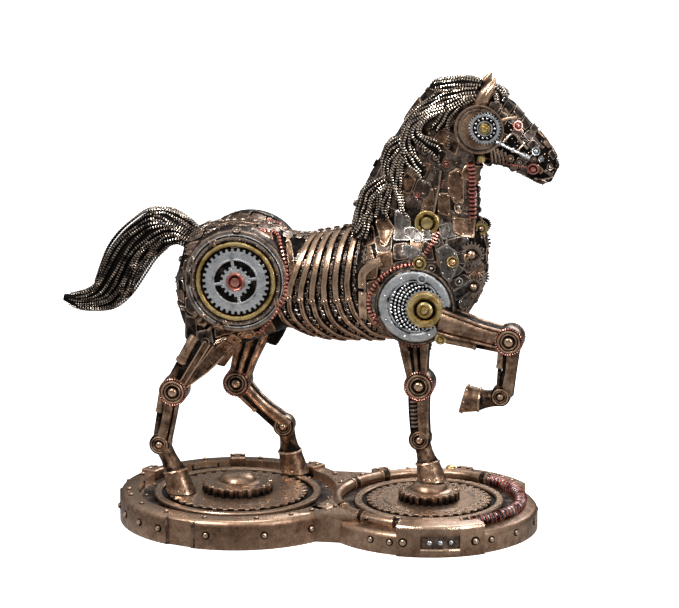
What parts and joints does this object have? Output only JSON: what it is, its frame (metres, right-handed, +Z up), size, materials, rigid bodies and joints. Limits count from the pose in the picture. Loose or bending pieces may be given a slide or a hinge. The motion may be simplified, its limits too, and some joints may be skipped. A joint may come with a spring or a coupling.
{
  "type": "mechanical horse statue",
  "caption": "Cast figure of a striding clockwork horse of plates, ribs, gears and cables, fixed by its hooves to a low plinth of joined gear discs.",
  "frame": {"origin": "on the plinth's flat underside, midway between the middles of its two discs", "axes": "+X the way the horse walks, +Y its left side, +Z up"},
  "size_m": [0.255, 0.1196, 0.234],
  "materials": {
    "bronze": "cold-cast resin with a dark bronze metallic coat, darker in the hollows and rubbed bright on the edges",
    "plinth_bronze": "cold-cast resin with a warm bronze metallic coat, lightly worn",
    "silver": "silver metallic paint with dark wash, on gears and discs",
    "brass": "gold metallic paint with dark wash, on rings and knobs",
    "copper": "red copper metallic paint with dark wash, on cables and small discs"
  },
  "bodies": {
    "root": {"horse": "bronze", "plinth": "plinth_bronze"}
  },
  "joints": []
}
